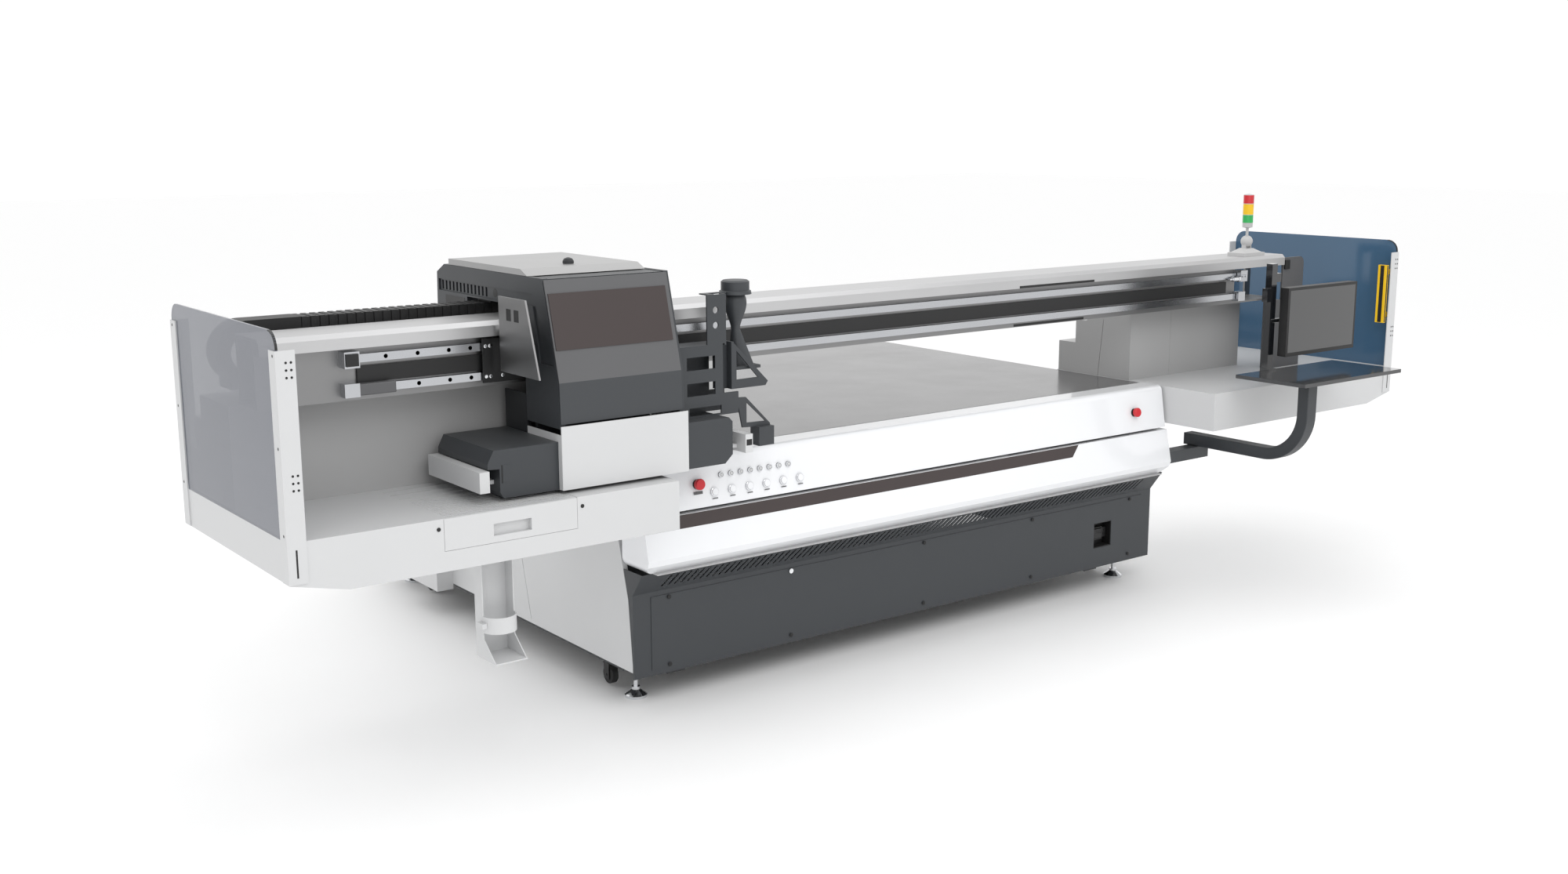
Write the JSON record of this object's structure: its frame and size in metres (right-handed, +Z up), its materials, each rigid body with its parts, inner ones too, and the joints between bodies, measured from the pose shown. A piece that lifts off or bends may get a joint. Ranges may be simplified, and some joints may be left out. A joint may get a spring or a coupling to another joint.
{
  "type": "flatbed uv printer",
  "caption": "Wide flatbed UV printer: a bed on a cabinet, a travelling gantry with a print carriage on its beam, guards, signal tower and operator's monitor.",
  "frame": {"origin": "on the floor, under the middle of the machine's bounding box", "axes": "+X along the beam, to the operator's right; +Y away from the operator, along the gantry's travel; +Z up"},
  "size_m": [5.118, 2.73, 1.63],
  "materials": {
    "slate_paint": "fine texture powder coat",
    "white_gloss": "gloss lacquer",
    "pale_paint": "satin powder coat",
    "grey_paint": "satin paint",
    "bed_metal": "hard anodised, polished",
    "aluminium": "brushed",
    "rail_steel": "ground",
    "chrome": "plated",
    "black_plastic": "moulded",
    "black_gloss": "gloss",
    "red_plastic": "moulded",
    "blue_acrylic": "tinted acrylic sheet",
    "yellow_plastic": "painted housing",
    "signal_plastic": "coloured lenses on a grey stem",
    "brown_panel": "printed film",
    "rubber": "black rubber"
  },
  "bodies": {
    "bed": {"base_frame": "slate_paint", "bed_table": "bed_metal", "gantry_rails": "rail_steel", "front_panel": "slate_paint", "access_panel": "slate_paint", "power_inlet": "black_plastic", "control_cover": "white_gloss", "lower_cover": "white_gloss", "panel_fittings": "chrome", "body_panels": "pale_paint", "levelling_feet": "chrome", "caster_forks": "black_plastic", "monitor_arm": "slate_paint"},
    "rocker": {"power_rocker": "black_plastic"},
    "tray": {"monitor_tray": "black_gloss"},
    "screen": {"monitor": "black_plastic"},
    "gantry": {"beam": "aluminium", "beam_rails": "rail_steel", "motor_strip": "black_plastic", "rail_stops": "grey_paint", "wings": "pale_paint", "uprights": "pale_paint", "gantry_shoes": "rail_steel", "end_plates": "grey_paint", "corner_posts": "pale_paint", "side_guards": "blue_acrylic", "light_curtain": "yellow_plastic", "bottle_holder": "pale_paint", "chain_trough": "aluminium", "signal_tower": "signal_plastic"},
    "drawer": {"purge_drawer": "pale_paint", "drip_grille": "pale_paint"},
    "chain": {"chain_loop": "black_plastic"},
    "carriage": {"carriage_frame": "slate_paint", "guide_blocks": "rail_steel", "chain_upper": "black_plastic", "side_bracket": "aluminium"},
    "hood": {"front_hood": "grey_paint", "badge_panel": "brown_panel"},
    "carriage_lid": {"lid": "pale_paint"},
    "head": {"head_shell": "pale_paint", "head_plate": "aluminium", "left_uv_lamp": "slate_paint", "right_uv_lamp": "slate_paint", "riser_bracket": "slate_paint", "ion_nozzle": "slate_paint"},
    "bumper_left": {"left_bumper": "pale_paint"},
    "bumper_right": {"right_bumper": "pale_paint"},
    "vacuum_button_body": {"vacuum_button": "black_plastic"},
    "head_up_button_body": {"head_up_button": "black_plastic"},
    "head_down_button_body": {"head_down_button": "black_plastic"},
    "light_button_body": {"light_button": "black_plastic"},
    "reset_button_body": {"reset_button": "black_plastic"},
    "start_button_body": {"start_button": "black_plastic"},
    "estop_left_body": {"estop_left": "red_plastic"},
    "estop_right_body": {"estop_right": "red_plastic"},
    "wheel_front_left_body": {"wheel_front_left": "rubber"},
    "wheel_rear_left_body": {"wheel_rear_left": "rubber"},
    "wheel_front_right_body": {"wheel_front_right": "rubber"},
    "wheel_rear_right_body": {"wheel_rear_right": "rubber"}
  },
  "joints": [
    {"name": "gantry_travel", "type": "slide", "parent": "bed", "child": "gantry", "axis": [0, 1, 0], "range_m": [0, 1.4]},
    {"name": "carriage_travel", "type": "slide", "parent": "gantry", "child": "carriage", "axis": [1, 0, 0], "range_m": [0, 2.95]},
    {"name": "chain_roll", "type": "slide", "parent": "gantry", "child": "chain", "axis": [1, 0, 0], "range_m": [0, 1.475]},
    {"name": "head_lift", "type": "slide", "parent": "carriage", "child": "head", "axis": [0, 0, 1], "range_m": [0, 0.025]},
    {"name": "hood_hinge", "type": "hinge", "parent": "carriage", "child": "hood", "pos_m": [-1.4625, -0.851, 1.482], "axis": [-1, 0, 0], "range_deg": [0, 80]},
    {"name": "lid_hinge", "type": "hinge", "parent": "carriage", "child": "carriage_lid", "pos_m": [-1.4625, -0.21, 1.491], "axis": [-1, 0, 0], "range_deg": [0, 75]},
    {"name": "drawer_slide", "type": "slide", "parent": "gantry", "child": "drawer", "axis": [0, -1, 0], "range_m": [0, 0.26]},
    {"name": "left_bumper_slide", "type": "slide", "parent": "head", "child": "bumper_left", "axis": [1, 0, 0], "range_m": [0, 0.015], "stiffness_N_per_m": 4000},
    {"name": "right_bumper_slide", "type": "slide", "parent": "head", "child": "bumper_right", "axis": [-1, 0, 0], "range_m": [0, 0.015], "stiffness_N_per_m": 4000},
    {"name": "tray_swivel", "type": "hinge", "parent": "bed", "child": "tray", "pos_m": [1.522, -1.28, 0.91], "axis": [0, 0, 1], "range_deg": [-60, 0]},
    {"name": "monitor_tilt", "type": "hinge", "parent": "tray", "child": "screen", "pos_m": [1.81, -1.045, 1.135], "axis": [1, 0, 0], "range_deg": [-20, 20]},
    {"name": "power_rocker_tilt", "type": "hinge", "parent": "bed", "child": "rocker", "pos_m": [0.992, -0.655, 0.2485], "axis": [1, 0, 0], "range_deg": [-6, 6]},
    {"name": "vacuum_button_press", "type": "slide", "parent": "bed", "child": "vacuum_button_body", "axis": [0, 0.9861, -0.1663], "range_m": [0, 0.003], "stiffness_N_per_m": 600},
    {"name": "head_up_button_press", "type": "slide", "parent": "bed", "child": "head_up_button_body", "axis": [0, 0.9861, -0.1663], "range_m": [0, 0.003], "stiffness_N_per_m": 600},
    {"name": "head_down_button_press", "type": "slide", "parent": "bed", "child": "head_down_button_body", "axis": [0, 0.9861, -0.1663], "range_m": [0, 0.003], "stiffness_N_per_m": 600},
    {"name": "light_button_press", "type": "slide", "parent": "bed", "child": "light_button_body", "axis": [0, 0.9861, -0.1663], "range_m": [0, 0.003], "stiffness_N_per_m": 600},
    {"name": "reset_button_press", "type": "slide", "parent": "bed", "child": "reset_button_body", "axis": [0, 0.9861, -0.1663], "range_m": [0, 0.003], "stiffness_N_per_m": 600},
    {"name": "start_button_press", "type": "slide", "parent": "bed", "child": "start_button_body", "axis": [0, 0.9861, -0.1663], "range_m": [0, 0.003], "stiffness_N_per_m": 600},
    {"name": "estop_left_press", "type": "slide", "parent": "bed", "child": "estop_left_body", "axis": [0, 0.9861, -0.1663], "range_m": [0, 0.005], "stiffness_N_per_m": 1500},
    {"name": "estop_right_press", "type": "slide", "parent": "bed", "child": "estop_right_body", "axis": [0, 0.9861, -0.1663], "range_m": [0, 0.005], "stiffness_N_per_m": 1500},
    {"name": "wheel_front_left_spin", "type": "hinge", "parent": "bed", "child": "wheel_front_left_body", "pos_m": [-1.235, -0.423, 0.045], "axis": [1, 0, 0], "continuous": true},
    {"name": "wheel_rear_left_spin", "type": "hinge", "parent": "bed", "child": "wheel_rear_left_body", "pos_m": [-1.235, 1.019, 0.045], "axis": [1, 0, 0], "continuous": true},
    {"name": "wheel_front_right_spin", "type": "hinge", "parent": "bed", "child": "wheel_front_right_body", "pos_m": [1.235, -0.423, 0.045], "axis": [1, 0, 0], "continuous": true},
    {"name": "wheel_rear_right_spin", "type": "hinge", "parent": "bed", "child": "wheel_rear_right_body", "pos_m": [1.235, 1.019, 0.045], "axis": [1, 0, 0], "continuous": true}
  ],
  "couplings": [
    {"joint": "chain_roll", "follows": "carriage_travel", "ratio": 0.5}
  ]
}
